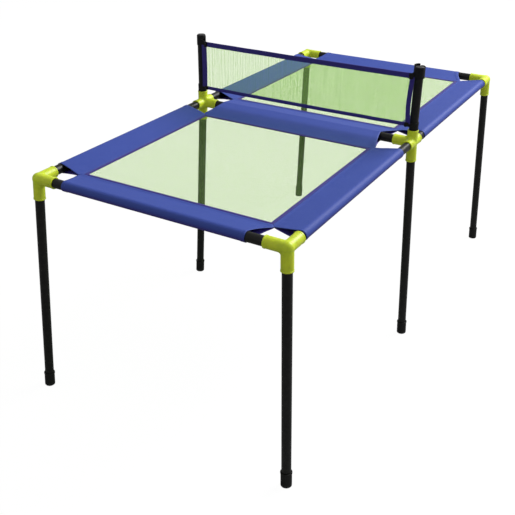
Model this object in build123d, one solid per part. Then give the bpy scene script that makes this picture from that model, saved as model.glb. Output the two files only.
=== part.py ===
"""Junior knock-down table-tennis table: tube frame, sleeved fabric cover with two mesh
windows, six push-in legs and a net on two plug-in posts.

Millimetres. The origin is on the floor under the middle of the table. +X runs along the
table to its far end, +Y to its left side and +Z up. The net stands over X = 0.
"""

from build123d import *
import math
import os

# Overall layout, between tube axes; the splay is each leg's lean away from the table
table_length = 1510.0
table_width = 725.0
rail_height = 648.0
leg_splay = 3.0

# Steel tube of the frame, legs and posts
tube_diameter = 25.0
tube_wall = 1.2

# Moulded connectors: an arm is measured from the hub's centre to its mouth
corner_arm = 56.0
rail_arm = 42.0
cross_arm = 55.0
leg_arm = 56.0
post_arm = 38.0
socket_wall = 2.5
socket_clearance = 0.1
stop_web = 3.4
hub_bulge = 1.0
crotch_fillet = 8.0
rim_width = 4.0
rim_height = 0.7
rim_edge = 0.5

# Foot caps
cap_wall = 2.0
cap_height = 42.0
cap_floor = 7.0
cap_lip_height = 4.0
cap_lip = 0.9
cap_lip_edge = 0.4
cap_edge = 3.0

# Sewn cover: a sleeve's width is from the tube's axis to the edge of the mesh window
cloth = 0.8
cloth_gap = 0.3
end_sleeve = 79.0
side_sleeve = 81.0
centre_sleeve_near = 110.0
centre_sleeve_far = 80.0
seam_width = 9.0
corner_join = 10.0

# Bare tube left between a connector's mouth and the end of a sleeve
end_bare_left = 33.0
end_bare_right = 45.0
corner_bare_left = 27.0
corner_bare_right = 6.0
centre_bare_left = 48.0
centre_bare_near_right = 60.0
centre_bare_far_right = 28.0
cross_bare_left = 28.0
cross_bare_right = 42.0

# Mesh windows and their binding
mesh_sheet = 0.6
binding_width = 6.0
binding_thickness = 2.0
binding_grip = 3.0

# Net, its tapes and hems. It hangs against the near faces of the posts
net_height = 152.5
net_lift = 12.0
post_stand = 17.5
net_gap = 0.5
net_sheet = 0.5
tape_thickness = 2.0
top_tape_height = 15.0
bottom_tape_height = 11.0
tape_grip = 5.0
hem_width = 18.0
hem_set = 10.0

# Post caps and the straps that tie the net to its posts
post_cap_head = 3.0
post_cap_plug = 16.0
post_cap_edge = 1.0
strap_thickness = 1.5
strap_seam = 7.0
strap_lift = 1.0

# Worked out from the above
tube_radius = tube_diameter / 2
tube_inside = tube_radius - tube_wall
bore_radius = tube_radius + socket_clearance
socket_radius = bore_radius + socket_wall
socket_stop = bore_radius + stop_web
half_length = table_length / 2
half_width = table_width / 2
lean = math.tan(math.radians(leg_splay))
sleeve_inside = tube_radius + cloth_gap
sleeve_outside = sleeve_inside + cloth
window_near = {"near": centre_sleeve_near, "far": centre_sleeve_far}
window_far = half_length - end_sleeve
window_side = half_width - side_sleeve
net_bottom = rail_height + post_arm + net_lift
net_top = net_bottom + net_height
post_top = net_top + post_stand
net_x = -(tube_radius + net_gap + tape_thickness / 2)
hem_outer = half_width - hem_set
hem_inner = hem_outer - hem_width
tape_end = hem_inner + tape_grip
hem_low = net_bottom + bottom_tape_height
hem_high = net_top - top_tape_height

ends = {"near": -1, "far": 1}
sides = {"left": 1, "right": -1}
corner_bare = {"left": corner_bare_left, "right": corner_bare_right}
right_bare = {"near": centre_bare_near_right, "far": centre_bare_far_right}

os.makedirs("parts", exist_ok=True)


# Shapes


def block(x0, x1, y0, y1, z0, z1):
    """A box between two corners."""
    centre = Pos((x0 + x1) / 2, (y0 + y1) / 2, (z0 + z1) / 2)
    return centre * Box(abs(x1 - x0), abs(y1 - y0), abs(z1 - z0))


def rod(start, direction, radius, begin, end):
    """A cylinder on a line through start, from one distance along it to another."""
    plane = Plane(origin=start, z_dir=direction).offset(begin)
    return extrude(plane * Circle(radius), end - begin)


def tube(start, direction, begin, end):
    """A length of the steel tube on a line through start."""
    wall = rod(start, direction, tube_radius, begin, end)
    return wall - rod(start, direction, tube_inside, begin, end)


def connector(centre, arms):
    """A moulded connector: a round hub with a blind socket for each (direction, reach)."""
    body = Pos(*centre) * Sphere(socket_radius + hub_bulge)
    for direction, reach in arms:
        body += rod(centre, direction, socket_radius, 0, reach)
    crotches = [edge for edge in body.edges() if edge.geom_type == GeomType.ELLIPSE]
    body = fillet(crotches, crotch_fillet)
    for direction, reach in arms:
        rim = rod(centre, direction, socket_radius + rim_height, reach - rim_width, reach)
        body += chamfer(rim.edges().filter_by(GeomType.CIRCLE), rim_edge)
    for direction, reach in arms:
        body -= rod(centre, direction, bore_radius, socket_stop, reach)
    return body


def teardrop(radius, reach, thickness):
    """Half of a sleeve's section: round the tube, then straight in to a flat tip."""
    distance = math.hypot(reach, thickness)
    turn = math.atan2(thickness, reach) + math.acos(radius / distance)
    touch = (radius * math.cos(turn), radius * math.sin(turn))
    outline = [
        ThreePointArc((touch[0], -touch[1]), (-radius, 0), touch),
        Line(touch, (reach, thickness)),
        Line((reach, thickness), (reach, -thickness)),
        Line((reach, -thickness), (touch[0], -touch[1])),
    ]
    return make_face(outline)


def wing(width):
    """The section of a sleeve's cloth with one wing, filled, and that of the space inside."""
    knee = width - seam_width
    cavity_tip = cloth / 4
    section = teardrop(sleeve_outside, knee, cloth)
    section += Pos(knee + seam_width / 2, 0) * Rectangle(seam_width, 2 * cloth)
    return section, teardrop(sleeve_inside, knee - seam_width, cavity_tip)


def sleeve(width, plane, length, other_width=None):
    """A sleeve about a tube along plane Z: a wing along plane X, perhaps one opposite."""
    section, cavity = wing(width)
    if other_width:
        other_section, other_cavity = wing(other_width)
        section += mirror(other_section, Plane.YZ)
        cavity += mirror(other_cavity, Plane.YZ)
    return extrude(plane * (section - cavity), length / 2, both=True)


def prism(points):
    """An upright prism through the whole height, for cutting a sleeve to its outline."""
    outline = make_face(Polyline(points, close=True))
    return extrude(Pos(0, 0, rail_height - table_width) * outline, 2 * table_width)


def strip(x0, x1, y0, y1, groove):
    """A binding strip with a groove for the mesh; groove is the groove's own corners."""
    low = rail_height - binding_thickness / 2
    high = rail_height + binding_thickness / 2
    slot = block(*groove, rail_height - mesh_sheet / 2, rail_height + mesh_sheet / 2)
    return block(x0, x1, y0, y1, low, high) - slot


# Frame


def leg_line(end_sign, side_sign):
    """The hub that a leg hangs from, and the direction that the leg points."""
    hub = (end_sign * half_length, side_sign * half_width, rail_height)
    down = Vector(end_sign * lean, side_sign * lean, -1).normalized()
    return hub, tuple(down)


def make_connectors():
    """Four corner connectors and the two in the middle that also hold the net posts."""
    made = {}
    for side, across in sides.items():
        for end, along in ends.items():
            hub, down = leg_line(along, across)
            arms = [((-along, 0, 0), corner_arm), ((0, -across, 0), corner_arm), (down, leg_arm)]
            made[f"corner_connector_{end}_{side}"] = connector(hub, arms)
        hub, down = leg_line(0, across)
        arms = [((1, 0, 0), rail_arm), ((-1, 0, 0), rail_arm)]
        arms += [((0, -across, 0), cross_arm), (down, leg_arm), ((0, 0, 1), post_arm)]
        made[f"centre_connector_{side}"] = connector(hub, arms)
    return made


def make_frame_tubes():
    """Side rails in halves, the two end tubes and the cross tube, each seated at its stops."""
    made = {}
    for side, across in sides.items():
        for end, along in ends.items():
            middle = (0, across * half_width, rail_height)
            reach = half_length - socket_stop
            made[f"side_rail_{end}_{side}"] = tube(middle, (along, 0, 0), socket_stop, reach)
    inner = table_width - socket_stop
    for end, along in ends.items():
        corner = (along * half_length, -half_width, rail_height)
        made[f"end_tube_{end}"] = tube(corner, (0, 1, 0), socket_stop, inner)
    made["centre_cross_tube"] = tube((0, -half_width, rail_height), (0, 1, 0), socket_stop, inner)
    return made


# Cover


def make_end_bands():
    """The sleeves over the end tubes."""
    made = {}
    left_end = half_width - corner_arm - end_bare_left
    right_end = end_bare_right + corner_arm - half_width
    outside = half_length + 2 * tube_diameter
    for end, along in ends.items():
        plane = Plane(
            origin=(along * half_length, 0, rail_height), x_dir=(-along, 0, 0), z_dir=(0, 1, 0)
        )
        corner = along * window_far
        joint = along * (window_far + corner_join)
        outline = [(along * outside, right_end), (along * outside, left_end)]
        outline += [(joint, window_side + corner_join), (corner, window_side)]
        outline += [(corner, -window_side), (joint, -window_side - corner_join)]
        made[f"end_band_{end}"] = sleeve(end_sleeve, plane, table_width) & prism(outline)
    return made


def make_side_bands():
    """The sleeves over the four half-length side rails."""
    made = {}
    outside = half_width + 2 * tube_diameter
    for side, across in sides.items():
        corner_end = half_length - corner_arm - corner_bare[side]
        edge = across * window_side
        joint = across * (window_side + corner_join)
        for end, along in ends.items():
            inner = window_near[end]
            middle_end = rail_arm + (centre_bare_left if side == "left" else right_bare[end])
            plane = Plane(
                origin=(along * half_length / 2, across * half_width, rail_height),
                x_dir=(0, -across, 0),
                z_dir=(1, 0, 0),
            )
            outline = [(along * middle_end, across * outside), (along * corner_end, across * outside)]
            outline += [(along * (window_far + corner_join), joint), (along * window_far, edge)]
            outline += [(along * inner, edge), (along * (inner - corner_join), joint)]
            band = sleeve(side_sleeve, plane, half_length)
            made[f"side_band_{end}_{side}"] = band & prism(outline)
    return made


def make_centre_band():
    """The two-sided sleeve over the cross tube."""
    plane = Plane(origin=(0, 0, rail_height), x_dir=(1, 0, 0), z_dir=(0, 1, 0))
    outline = []
    for end, along, bares in (
        ("far", 1, (cross_bare_left, cross_bare_right)),
        ("near", -1, (cross_bare_right, cross_bare_left)),
    ):
        first, last = [half_width - cross_arm - bare for bare in bares]
        inner = window_near[end]
        joint = inner - corner_join
        half = [(sleeve_outside, first), (joint, window_side + corner_join), (inner, window_side)]
        half += [(inner, -window_side), (joint, -window_side - corner_join)]
        half += [(sleeve_outside, -last)]
        outline += [(along * x, along * y) for x, y in half]
    band = sleeve(centre_sleeve_far, plane, table_width, centre_sleeve_near)
    return {"centre_band": band & prism(outline)}


def make_windows():
    """The mesh sheets and the grooved binding strips that hold their edges."""
    made = {}
    tuck = binding_width - binding_grip
    inside = window_side - binding_width
    low = rail_height - mesh_sheet / 2
    for end, along in ends.items():
        x0, x1 = sorted((along * window_near[end], along * window_far))
        mesh_box = (x0 + tuck, x1 - tuck, -window_side + tuck, window_side - tuck)
        made[f"mesh_window_{end}"] = block(*mesh_box, low, low + mesh_sheet)
        strips = [
            strip(x0, x0 + binding_width, -window_side, window_side, mesh_box),
            strip(x1 - binding_width, x1, -window_side, window_side, mesh_box),
            strip(x0 + binding_width, x1 - binding_width, inside, window_side, mesh_box),
            strip(x0 + binding_width, x1 - binding_width, -window_side, -inside, mesh_box),
        ]
        made[f"window_binding_{end}"] = Compound(strips)
    return made


# Legs


def foot_cap(hub, down, length, tilt):
    """A soft cap on a leg's lower end, trimmed level where it stands on the floor."""
    radius = tube_radius + cap_wall
    bottom = length + radius * math.tan(tilt)
    top = length - cap_height
    body = rod(hub, down, radius, top, bottom)
    floor_edge = body.edges().filter_by(GeomType.CIRCLE).sort_by(Axis.Z)[0]
    body = fillet(floor_edge, cap_edge)
    lip = rod(hub, down, radius + cap_lip, top, top + cap_lip_height)
    body += chamfer(lip.edges().filter_by(GeomType.CIRCLE), cap_lip_edge)
    body -= rod(hub, down, tube_radius, top, length - cap_floor)
    return split(body, bisect_by=Plane.XY, keep=Keep.TOP)


def make_legs():
    """Six push-in legs, each a tube with a foot cap."""
    made = {}
    for end, along in {**ends, "centre": 0}.items():
        tilt = math.atan(math.hypot(along * lean, lean))
        length = rail_height / math.cos(tilt)
        for side, across in sides.items():
            hub, down = leg_line(along, across)
            made[f"leg_tube_{end}_{side}"] = tube(hub, down, socket_stop, length - cap_floor)
            made[f"foot_cap_{end}_{side}"] = foot_cap(hub, down, length, tilt)
    return made


# Net


def make_posts():
    """The two net posts with the plugs in their tops."""
    made = {}
    tube_top = post_top - rail_height - post_cap_head
    for side, across in sides.items():
        hub = (0, across * half_width, rail_height)
        made[f"net_post_{side}"] = tube(hub, (0, 0, 1), socket_stop, tube_top)
        head = rod(hub, (0, 0, 1), tube_radius, tube_top, tube_top + post_cap_head)
        head = fillet(head.edges().filter_by(GeomType.CIRCLE).sort_by(Axis.Z)[-1], post_cap_edge)
        plug = rod(hub, (0, 0, 1), tube_inside, tube_top - post_cap_plug, tube_top)
        made[f"post_cap_{side}"] = head + plug
    return made


def net_panel(thickness, y0, y1, z0, z1):
    """A flat piece in the plane of the net."""
    return block(net_x - thickness / 2, net_x + thickness / 2, y0, y1, z0, z1)


def make_net():
    """The net sheet with the tapes and hems that hold its four edges."""
    made = {}
    thick = tape_thickness
    mesh = net_panel(net_sheet, -tape_end, tape_end, hem_low - tape_grip, hem_high + tape_grip)
    made["net_mesh"] = mesh
    made["net_top_tape"] = net_panel(thick, -tape_end, tape_end, hem_high, net_top) - mesh
    made["net_bottom_tape"] = net_panel(thick, -tape_end, tape_end, net_bottom, hem_low) - mesh
    for side, across in sides.items():
        hem = net_panel(thick, across * hem_inner, across * hem_outer, hem_low, hem_high)
        made[f"net_side_hem_{side}"] = hem - mesh
    return made


def strap(across, low, high):
    """A strap round a post, with both its ends sewn together against the end of a tape."""
    inward = half_width - tape_end
    reach = math.hypot(inward, net_x)
    plane = Plane(
        origin=(0, across * half_width, low), x_dir=(net_x, -across * inward, 0), z_dir=(0, 0, 1)
    )
    knee = reach - strap_seam
    section = teardrop(tube_radius + strap_thickness, knee, strap_thickness)
    section += Pos(reach, 0) * Rectangle(2 * strap_seam, 2 * strap_thickness)
    section -= teardrop(tube_radius, knee - strap_seam / 2, strap_thickness / 4)
    band = extrude(plane * section, high - low)
    outside = across * (half_width + tube_diameter)
    return band & block(-table_width, table_width, across * tape_end, outside, low, high)


def make_straps():
    """A strap at the top and the bottom of each post."""
    made = {}
    strap_low = rail_height + post_arm + strap_lift
    for side, across in sides.items():
        made[f"post_strap_top_{side}"] = strap(across, hem_high, post_top - post_cap_head)
        made[f"post_strap_bottom_{side}"] = strap(across, strap_low, hem_low)
    return made


makers = [make_connectors, make_frame_tubes, make_end_bands, make_side_bands, make_centre_band]
makers += [make_windows, make_legs, make_posts, make_net, make_straps]
for maker in makers:
    for node, shape in maker().items():
        export_step(shape, f"parts/{node}.step")
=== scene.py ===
"""Looks of a junior knock-down table-tennis table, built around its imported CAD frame.

Metres. +X runs along the table to its far end, +Y to its left side and +Z up. The moulded
connectors, steel tubes, foot caps and post plugs keep their CAD shapes and get finishes.
The sewn cover, its mesh windows, the net, its tapes and its straps are made here.
"""

import math
from collections import namedtuple

import bpy
from mathutils import Matrix, Vector, noise


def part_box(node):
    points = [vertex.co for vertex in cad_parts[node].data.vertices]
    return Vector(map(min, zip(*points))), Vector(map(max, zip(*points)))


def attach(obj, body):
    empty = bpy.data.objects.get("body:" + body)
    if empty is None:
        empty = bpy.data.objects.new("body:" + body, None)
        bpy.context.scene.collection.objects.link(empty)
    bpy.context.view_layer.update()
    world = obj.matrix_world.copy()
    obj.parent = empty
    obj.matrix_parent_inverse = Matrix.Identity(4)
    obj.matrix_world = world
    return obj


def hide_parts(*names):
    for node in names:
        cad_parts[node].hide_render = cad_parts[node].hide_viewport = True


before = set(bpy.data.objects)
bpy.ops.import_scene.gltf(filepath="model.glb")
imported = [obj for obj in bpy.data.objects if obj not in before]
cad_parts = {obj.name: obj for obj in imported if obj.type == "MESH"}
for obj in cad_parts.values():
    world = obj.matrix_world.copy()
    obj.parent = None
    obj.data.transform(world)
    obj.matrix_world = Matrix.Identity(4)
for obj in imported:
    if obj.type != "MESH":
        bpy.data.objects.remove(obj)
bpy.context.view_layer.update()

bl_info = {
    "name": "Junior table-tennis table",
    "version": (1, 0, 0),
    "blender": (4, 5, 0),
    "location": "View3D > Sidebar > Net table",
    "description": "Cloth, mesh, net, stitching and finishes for a knock-down table",
    "category": "Object",
}

MM = 0.001
UP = Vector((0, 0, 1))
ENDS = {"near": -1, "far": 1}
SIDES = {"left": 1, "right": -1}

# Places read from the frame
tube_low, tube_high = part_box("end_tube_near")
RAIL_HEIGHT = (tube_low.z + tube_high.z) / 2
TUBE_RADIUS = (tube_high.z - tube_low.z) / 2
HALF_LENGTH = -(tube_low.x + tube_high.x) / 2
HALF_WIDTH = sum(corner.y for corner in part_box("side_rail_near_left")) / 2
window_low, window_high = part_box("window_binding_near")
WINDOW_NEAR = {"near": -window_high.x, "far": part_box("window_binding_far")[0].x}
WINDOW_FAR = -window_low.x
WINDOW_SIDE = window_high.y
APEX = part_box("end_band_near")[1].y - WINDOW_SIDE
CORNER_MOUTH_X = -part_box("corner_connector_near_left")[1].x
CORNER_MOUTH_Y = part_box("corner_connector_near_left")[0].y
MIDDLE_MOUTH_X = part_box("centre_connector_left")[1].x
MIDDLE_MOUTH_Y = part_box("centre_connector_left")[0].y
net_low, net_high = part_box("net_mesh")
NET_X = (net_low.x + net_high.x) / 2
TAPE_END = net_high.y
NET_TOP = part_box("net_top_tape")[1].z
HEM_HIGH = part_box("net_side_hem_left")[1].z
HEM_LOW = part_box("net_side_hem_left")[0].z
NET_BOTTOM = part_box("net_bottom_tape")[0].z
HEM_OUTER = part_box("net_side_hem_left")[1].y
HEM_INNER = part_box("net_side_hem_left")[0].y

Cut = namedtuple("Cut", "tube apex corner")
Wrap = namedtuple("Wrap", "origin along inward up low high reach bend")


# Colours and node trees


def linear(code):
    """A colour's sRGB hex code as linear red, green and blue."""
    values = [int(code[i : i + 2], 16) / 255 for i in (0, 2, 4)]
    return tuple(v / 12.92 if v <= 0.04045 else ((v + 0.055) / 1.055) ** 2.4 for v in values)


def rgba(colour):
    """A linear colour with full alpha."""
    return (*colour, 1.0)


def add(tree, kind, links=None, **settings):
    """Adds a node with its settings; links gives each input a socket or a value."""
    node = tree.nodes.new(kind)
    for name, value in settings.items():
        setattr(node, name, value)
    for key, source in (links or {}).items():
        if isinstance(source, bpy.types.NodeSocket):
            tree.links.new(source, node.inputs[key])
        else:
            node.inputs[key].default_value = source
    return node


def per_metre(spacing):
    """A wave texture's scale for ribs that are spacing apart, in metres."""
    return math.pi / 10 / spacing


def material(name, space="Object"):
    """An empty node material with its output and the place that its patterns follow."""
    made = bpy.data.materials.new(name)
    made.use_nodes = True
    tree = made.node_tree
    tree.nodes.clear()
    output = add(tree, "ShaderNodeOutputMaterial")
    return made, tree, output, add(tree, "ShaderNodeTexCoord").outputs[space]


def finish(tree, output, colour, height, relief, **surface):
    """Ends a material in one Principled shader with a bump of the given relief in metres."""
    bump = add(tree, "ShaderNodeBump", {"Height": height, "Distance": relief, "Strength": 1.0})
    links = {"Base Color": colour, "Normal": bump.outputs[0]}
    links.update({key.replace("_", " "): value for key, value in surface.items()})
    shader = add(tree, "ShaderNodeBsdfPrincipled", links)
    tree.links.new(shader.outputs[0], output.inputs[0])


def speckle(tree, vector, size, detail=2.0):
    """Noise with grains of a size in metres."""
    links = {"Vector": vector, "Scale": 1 / size, "Detail": detail}
    return add(tree, "ShaderNodeTexNoise", links).outputs[0]


def blended(tree, share, first, second):
    """A colour between two, by a share from 0 to 1."""
    links = {0: share, 6: first, 7: second}
    return add(tree, "ShaderNodeMix", links, data_type="RGBA").outputs[2]


def spread(tree, value, low, high, new_low=0.0, new_high=1.0):
    """A value's range stretched to another."""
    links = {0: value, 1: low, 2: high, 3: new_low, 4: new_high}
    return add(tree, "ShaderNodeMapRange", links).outputs[0]


def combined(tree, operation, first, second):
    """Two values joined by a math operation."""
    return add(tree, "ShaderNodeMath", {0: first, 1: second}, operation=operation).outputs[0]


def weave(tree, vector, across, along):
    """Crossing threads at two spacings in metres, as a height from 0 to 1."""
    ribs = []
    for direction, spacing in (("X", across), ("Y", along)):
        links = {"Vector": vector, "Scale": per_metre(spacing)}
        wave = add(tree, "ShaderNodeTexWave", links, bands_direction=direction)
        ribs.append(wave.outputs["Fac"])
    return combined(tree, "MULTIPLY", *ribs)


# Materials


def moulded_polypropylene(settings):
    """Injection-moulded polypropylene: satin, a little cloudy from flow, with a parting line."""
    made, tree, output, place = material("moulded_polypropylene")
    cloud = speckle(tree, place, 28 * MM)
    bright = rgba(settings.connector_colour)
    deep = rgba(c * 0.82 for c in settings.connector_colour)
    colour = blended(tree, spread(tree, cloud, 0.35, 0.65), deep, bright)
    # The mould's two halves met at the height of the rails' axes
    height = add(tree, "ShaderNodeSeparateXYZ", {0: place}).outputs[2]
    offset = combined(tree, "SUBTRACT", height, RAIL_HEIGHT)
    away = combined(tree, "ABSOLUTE", offset, 0.0)
    line = spread(tree, away, 0.25 * MM, 0.5 * MM, 1.0, 0.0)
    grain = combined(tree, "MULTIPLY", speckle(tree, place, 0.7 * MM), 0.35)
    relief = combined(tree, "ADD", line, grain)
    # Thin polypropylene lets light a few millimetres in, which lifts its shaded sides
    inside = {"Subsurface_Weight": 0.5, "Subsurface_Radius": (1.0, 1.2, 0.3)}
    inside["Subsurface_Scale"] = 7 * MM
    finish(tree, output, colour, relief, 0.12 * MM, Roughness=0.4, IOR=1.45, **inside)
    return made


def powder_coated_steel(settings):
    """Steel tube in black powder coat: satin, with the fine orange peel of a baked powder."""
    made, tree, output, place = material("powder_coated_steel")
    dust = spread(tree, speckle(tree, place, 9 * MM, 4.0), 0.45, 0.75)
    worn = rgba(c * 1.9 + 0.004 for c in settings.tube_colour)
    colour = blended(tree, dust, rgba(settings.tube_colour), worn)
    peel = speckle(tree, place, 1.6 * MM)
    rough = spread(tree, speckle(tree, place, 20 * MM), 0.3, 0.7, 0.36, 0.46)
    finish(tree, output, colour, peel, 0.08 * MM, Roughness=rough, Specular_IOR_Level=0.3)
    return made


def soft_vinyl(settings):
    """Dipped soft PVC of the foot caps: dull, dusty near the floor, finely pebbled."""
    made, tree, output, place = material("soft_vinyl")
    height = add(tree, "ShaderNodeSeparateXYZ", {0: place}).outputs[2]
    low = spread(tree, height, 0.0, 12 * MM, 0.7, 0.0)
    scuff = combined(tree, "MULTIPLY", low, speckle(tree, place, 3 * MM, 4.0))
    dusty = rgba(c + 0.05 for c in settings.cap_colour)
    colour = blended(tree, scuff, rgba(settings.cap_colour), dusty)
    pebble = speckle(tree, place, 1.1 * MM)
    finish(tree, output, colour, pebble, 0.12 * MM, Roughness=0.62, Specular_IOR_Level=0.3)
    return made


def moulded_polyethylene(settings):
    """Push-in plugs of black polyethylene: waxy, with a turned ring pattern too fine to catch."""
    made, tree, output, place = material("moulded_polyethylene")
    cloud = spread(tree, speckle(tree, place, 6 * MM), 0.3, 0.7)
    pale = rgba(c * 1.7 + 0.003 for c in settings.cap_colour)
    colour = blended(tree, cloud, rgba(settings.cap_colour), pale)
    grain = speckle(tree, place, 0.8 * MM)
    finish(tree, output, colour, grain, 0.05 * MM, Roughness=0.48, IOR=1.51)
    return made


def woven_polyester(settings):
    """Coated polyester cloth: a tight plain weave with a soft sheen, and painted shade: deeper
    violet where it faces down, darker between the raised threads.
    """
    made, tree, output, place = material("woven_polyester", "UV")
    # The real threads are 0.35 mm apart; they are drawn twice as coarse so that they show
    threads = weave(tree, place, 0.7 * MM, 0.7 * MM)
    slub = add(tree, "ShaderNodeMapping", {0: place, 3: (1.0, 0.08, 1.0)}).outputs[0]
    streak = spread(tree, speckle(tree, slub, 1.5 * MM, 3.0), 0.3, 0.7)
    patch = spread(tree, speckle(tree, place, 60 * MM), 0.3, 0.7)
    # Painted shade: the colour turns deeper violet where the cloth faces down, by the share that
    # the sleeves store
    under = add(tree, "ShaderNodeAttribute", attribute_name="underside").outputs["Fac"]
    above, below = rgba(settings.cloth_colour), rgba(settings.cloth_painted_shade_colour)
    main = blended(tree, under, above, below)
    # Painted shade in the weave: a darker copy of the colour between the raised threads and
    # slubs, which also varies in random patches
    links = {0: 1.0, 1: main, 2: (0.84, 0.86, 0.9, 1.0)}
    darker = add(tree, "ShaderNodeMixRGB", links, blend_type="MULTIPLY")
    tone = combined(tree, "MULTIPLY", threads, 0.5)
    mixed = combined(tree, "ADD", combined(tree, "MULTIPLY", streak, 0.45), tone)
    shade = combined(tree, "ADD", mixed, combined(tree, "MULTIPLY", patch, 0.3))
    colour = blended(tree, shade, darker.outputs[0], main)
    relief = combined(tree, "ADD", threads, combined(tree, "MULTIPLY", streak, 0.5))
    surface = {"Roughness": 0.55, "Specular_IOR_Level": 0.25}
    finish(tree, output, colour, relief, 0.08 * MM, **surface)
    return made


def coated_back(settings):
    """The cloth's inner face: a dark waterproof coating with the weave faintly through it."""
    made, tree, output, place = material("coated_back", "UV")
    threads = weave(tree, place, 0.7 * MM, 0.7 * MM)
    tint = spread(tree, speckle(tree, place, 12 * MM), 0.3, 0.7)
    lifted = rgba(c * 1.5 for c in settings.back_colour)
    colour = blended(tree, tint, rgba(settings.back_colour), lifted)
    finish(tree, output, colour, threads, 0.05 * MM, Roughness=0.55, IOR=1.5)
    return made


def knitted_monofilament(settings):
    """Clear green monofilament of the windows and net: it glows where light comes through."""
    made, tree, output, place = material("knitted_monofilament")
    cloud = spread(tree, speckle(tree, place, 35 * MM, 3.0), 0.3, 0.7)
    base = rgba(settings.mesh_colour)
    paler = rgba(c * 0.85 + 0.1 for c in settings.mesh_colour)
    colour = blended(tree, cloud, base, paler)
    front = add(tree, "ShaderNodeBsdfPrincipled", {"Base Color": colour, "Roughness": 0.3})
    back = add(tree, "ShaderNodeBsdfTranslucent", {"Color": colour})
    glow = add(tree, "ShaderNodeMixShader", {0: 0.5, 1: front.outputs[0], 2: back.outputs[0]})
    clear = add(tree, "ShaderNodeBsdfTransparent", {"Color": rgba(settings.mesh_clear_colour)})
    links = {0: settings.mesh_opacity, 1: clear.outputs[0], 2: glow.outputs[0]}
    mixed = add(tree, "ShaderNodeMixShader", links)
    tree.links.new(mixed.outputs[0], output.inputs[0])
    return made


def ribbed_tape(name, colour, spacing, roughness, sheen):
    """Woven tape with ribs across it, as on grosgrain binding and strap webbing."""
    made, tree, output, place = material(name, "UV")
    ribs = weave(tree, place, spacing * 0.6, spacing)
    tint = spread(tree, speckle(tree, place, 5 * MM, 3.0), 0.3, 0.7)
    # Painted highlight: a lighter copy of the tape's colour on its raised ribs, in random patches
    raised = combined(tree, "MULTIPLY", ribs, tint)
    lifted = rgba(c * 1.6 + 0.004 for c in colour)
    shade = blended(tree, raised, rgba(colour), lifted)
    surface = {"Roughness": roughness, "Sheen_Weight": sheen, "Specular_IOR_Level": 0.25}
    finish(tree, output, shade, ribs, 0.15 * MM, **surface)
    return made


def spun_thread(name, colour):
    """Spun polyester sewing thread: matt and twisted, with painted shade: darker where its
    twist's relief is low.
    """
    made, tree, output, place = material(name)
    twist = speckle(tree, place, 0.5 * MM)
    # Painted shade: a darker copy of the thread's colour where the twist's relief is low
    dark = rgba(c * 0.7 for c in colour)
    shade = blended(tree, spread(tree, twist, 0.3, 0.7), dark, rgba(colour))
    surface = {"Roughness": 0.6, "Sheen_Weight": 0.2, "Sheen_Roughness": 0.4}
    finish(tree, output, shade, twist, 0.1 * MM, IOR=1.5, **surface)
    return made


# Mesh pieces


def mesh_piece(name, points, faces, finishes, uvs=None, smooth=True):
    """A new mesh object at the origin; uvs holds one pair for each point of each face."""
    mesh = bpy.data.meshes.new(name)
    mesh.from_pydata(points, [], faces)
    if uvs:
        layer = mesh.uv_layers.new(name="UVMap")
        for loop in mesh.loops:
            layer.data[loop.index].uv = uvs[loop.index]
    mesh.polygons.foreach_set("use_smooth", [smooth] * len(mesh.polygons))
    for finish_material in finishes:
        mesh.materials.append(finish_material)
    piece = bpy.data.objects.new(name, mesh)
    bpy.context.scene.collection.objects.link(piece)
    return piece


def grid_faces(rows, columns):
    """Quads over a grid of points stored row by row, and each corner's (row, column)."""
    faces = []
    corners = []
    for row in range(rows - 1):
        for column in range(columns - 1):
            around = [(row, column), (row + 1, column)]
            around += [(row + 1, column + 1), (row, column + 1)]
            faces.append([r * columns + c for r, c in around])
            corners += around
    return faces, corners


def smooth_step(value):
    """0 to 1 with level ends."""
    value = min(max(value, 0.0), 1.0)
    return value * value * (3 - 2 * value)


# Sewn sleeves and straps: cloth taken round a tube and back to a seam


def wing_touch(radius, knee, rise):
    """Where a straight line from (knee, rise) first touches a circle about the origin."""
    turn = math.atan2(rise, knee) + math.acos(radius / math.hypot(knee, rise))
    return turn, Vector((radius * math.cos(turn), radius * math.sin(turn)))


def run_line(start, finish_point, steps):
    """Evenly spaced points from start up to, but not including, the finish."""
    return [start.lerp(finish_point, i / steps) for i in range(steps)]


def arc_points(radius, first, last, steps):
    """Points of a circle about the origin, without the last."""
    angles = [first + (last - first) * i / steps for i in range(steps)]
    return [Vector((radius * math.cos(a), radius * math.sin(a))) for a in angles]


def one_wing(radius, reach, seam, rise):
    """The cloth's middle line from its upper seam edge round the tube to its lower one."""
    knee = Vector((reach - seam, rise))
    turn, touch = wing_touch(radius, knee.x, rise)
    line = run_line(Vector((reach, rise)), knee, 3)
    line += run_line(knee, touch, 12)
    line += arc_points(radius, turn, math.tau - turn, 22)
    flipped = [Vector((p.x, -p.y)) for p in reversed(line[:15])]
    return line + [Vector((touch.x, -touch.y))] + flipped


def half_layer(radius, reach, seam, rise, side):
    """The middle line of one layer of a wing, from its seam edge to the top of the tube."""
    knee = Vector((reach - seam, rise))
    turn, touch = wing_touch(radius, knee.x, rise)
    line = run_line(Vector((reach, rise)), knee, 3) + run_line(knee, touch, 14)
    line += arc_points(radius, turn, math.pi / 2, 6) + [Vector((0, radius))]
    return [Vector((p.x, p.y * side)) for p in line]


def outward(line):
    """Unit normals of a line, which point away from a tube that it runs round anticlockwise."""
    normals = []
    for i, _ in enumerate(line):
        ahead = line[min(i + 1, len(line) - 1)] - line[max(i - 1, 0)]
        normals.append(Vector((ahead.y, -ahead.x)).normalized())
    return normals


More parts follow.
